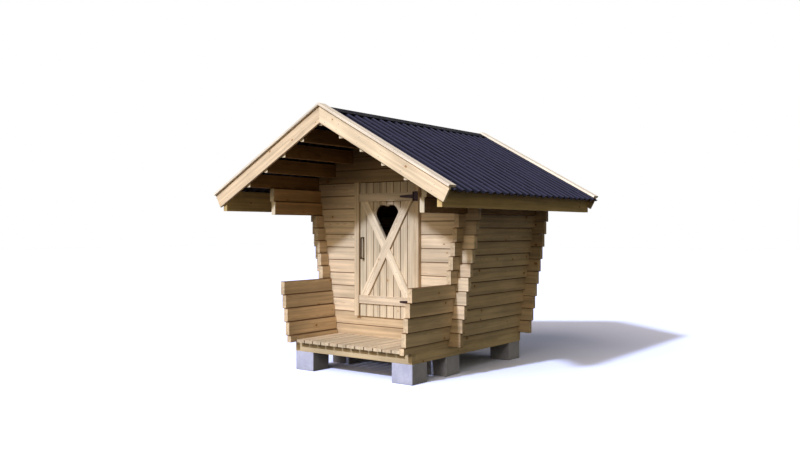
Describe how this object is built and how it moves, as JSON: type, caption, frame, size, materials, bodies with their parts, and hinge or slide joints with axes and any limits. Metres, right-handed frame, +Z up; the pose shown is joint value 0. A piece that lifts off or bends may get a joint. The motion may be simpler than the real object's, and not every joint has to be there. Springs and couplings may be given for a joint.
{
  "type": "child-size log outhouse with a covered porch",
  "caption": "Small log outhouse on blocks with a low-walled porch, ledged door with a heart cut-out and a corrugated gable roof.",
  "frame": {"origin": "on the ground, under the middle of the roof's rectangle in plan", "axes": "+X to the right seen from the front, +Y from the porch to the back, +Z up"},
  "size_m": [2.4738, 2.5, 2.183],
  "materials": {
    "log_pine": "planed raw pine, satin",
    "trim_pine": "planed raw pine, pale",
    "door_pine": "planed raw pine",
    "deck_pine": "planed raw pine",
    "bearer_pine": "sawn timber",
    "concrete": "cast concrete, matt",
    "roof_sheet": "dark bitumen fibre, satin",
    "ridge_flashing": "dark bitumen fibre, satin",
    "black_iron": "black paint, satin"
  },
  "bodies": {
    "cabin": {"barge_board_front_left": "trim_pine", "barge_board_front_right": "trim_pine", "barge_board_rear_left": "trim_pine", "barge_board_rear_right": "trim_pine", "bearer_left": "bearer_pine", "bearer_right": "bearer_pine", "block_front_left": "concrete", "block_front_right": "concrete", "block_middle_left": "concrete", "block_middle_right": "concrete", "block_rear_left": "concrete", "block_rear_right": "concrete", "cabin_floor": "deck_pine", "cap_board_front_left": "trim_pine", "cap_board_front_right": "trim_pine", "cap_board_rear_left": "trim_pine", "cap_board_rear_right": "trim_pine", "cross_joists": "bearer_pine", "door_post_left": "door_pine", "door_post_right": "door_pine", "eave_board_left": "log_pine", "eave_board_right": "log_pine", "front_gable_logs": "log_pine", "front_sill_logs": "log_pine", "front_wall_logs_left": "log_pine", "front_wall_logs_right": "log_pine", "hinge_plates": "black_iron", "porch_deck": "deck_pine", "purlins_left": "log_pine", "purlins_right": "log_pine", "rear_gable_logs": "log_pine", "rear_wall_logs": "log_pine", "ridge_cap": "ridge_flashing", "ridge_purlin": "log_pine", "roof_sheet_left": "roof_sheet", "roof_sheet_right": "roof_sheet", "side_bracket_logs_left": "log_pine", "side_bracket_logs_right": "log_pine", "side_porch_logs_left": "log_pine", "side_porch_logs_right": "log_pine", "side_upper_logs_left": "log_pine", "side_upper_logs_right": "log_pine"},
    "door": {"door_boards": "door_pine", "door_rails": "door_pine", "door_brace": "door_pine", "hinge_straps": "black_iron", "door_pull": "black_iron"}
  },
  "joints": [
    {"name": "door_hinge", "type": "hinge", "parent": "cabin", "child": "door", "pos_m": [0.2975, -0.404, 0.9], "axis": [0, 0, 1], "range_deg": [0, 105]}
  ]
}
